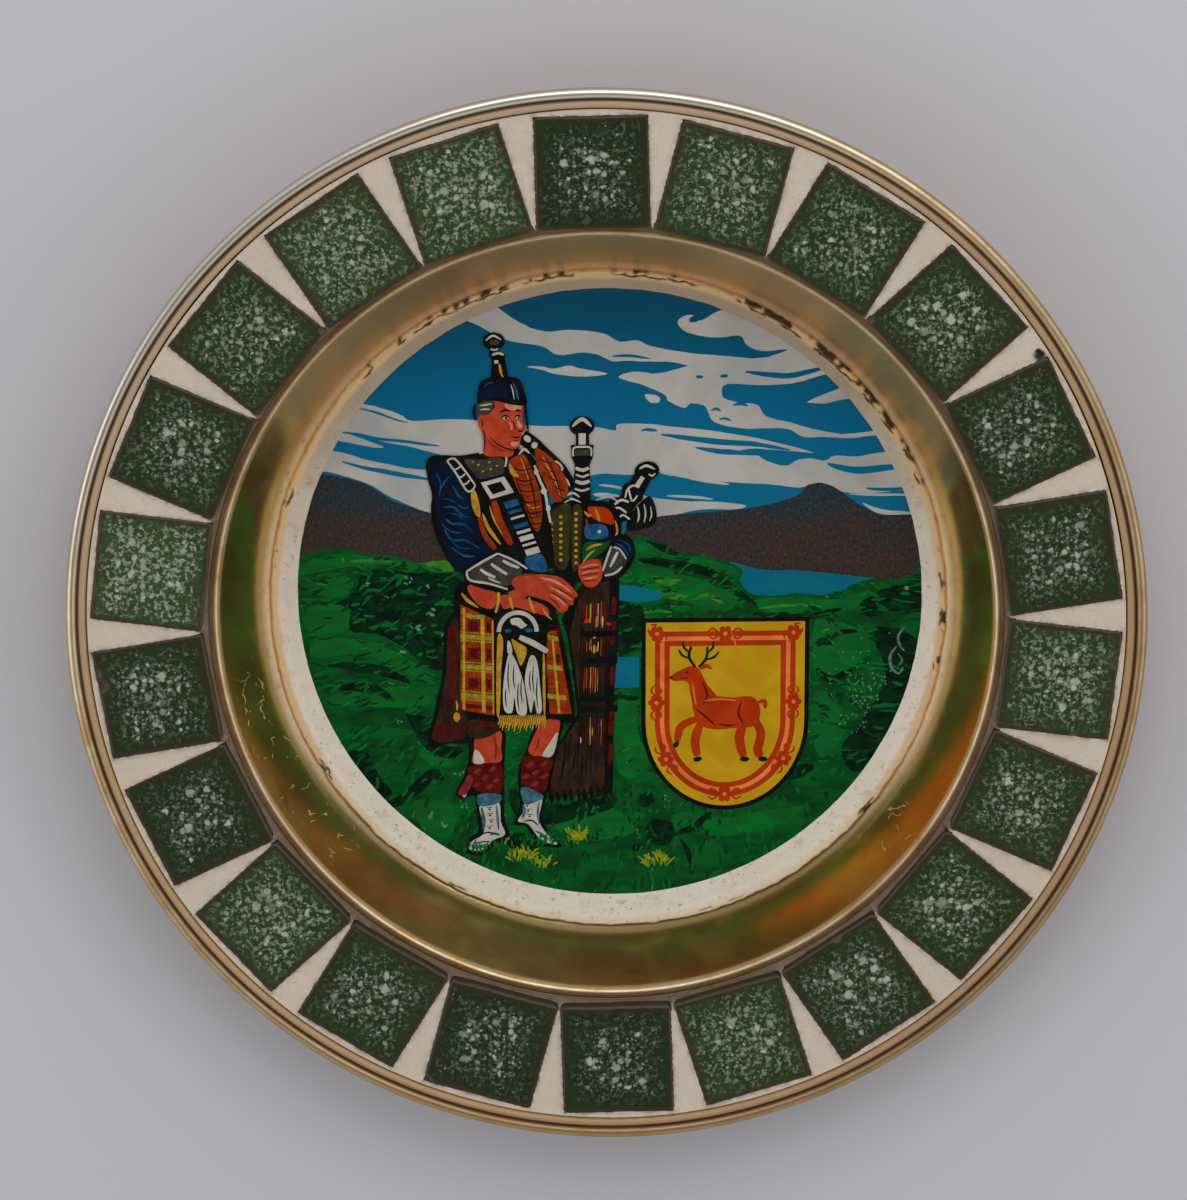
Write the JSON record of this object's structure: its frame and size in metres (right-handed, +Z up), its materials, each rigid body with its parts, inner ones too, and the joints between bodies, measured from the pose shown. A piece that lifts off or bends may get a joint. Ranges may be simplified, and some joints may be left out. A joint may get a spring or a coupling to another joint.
{
  "type": "souvenir plate",
  "caption": "Shallow round brass dish with a border of square green glass tiles and a printed picture disc in its well.",
  "frame": {"origin": "centre of the flat underside that the plate rests on", "axes": "+Z up out of the well, +Y towards the top of the picture, +X towards its right"},
  "size_m": [0.19, 0.19, 0.0202],
  "materials": {
    "brass": "satin",
    "grout": "matte",
    "tile_glass": "gloss",
    "plaster": "matte",
    "print": "satin"
  },
  "bodies": {
    "root": {"dish": "brass", "grout_ring": "grout", "tile_01": "tile_glass", "tile_02": "tile_glass", "tile_03": "tile_glass", "tile_04": "tile_glass", "tile_05": "tile_glass", "tile_06": "tile_glass", "tile_07": "tile_glass", "tile_08": "tile_glass", "tile_09": "tile_glass", "tile_10": "tile_glass", "tile_11": "tile_glass", "tile_12": "tile_glass", "tile_13": "tile_glass", "tile_14": "tile_glass", "tile_15": "tile_glass", "tile_16": "tile_glass", "tile_17": "tile_glass", "tile_18": "tile_glass", "tile_19": "tile_glass", "tile_20": "tile_glass", "tile_21": "tile_glass", "tile_22": "tile_glass", "well_bed": "plaster", "picture_disc": "print"}
  },
  "joints": []
}
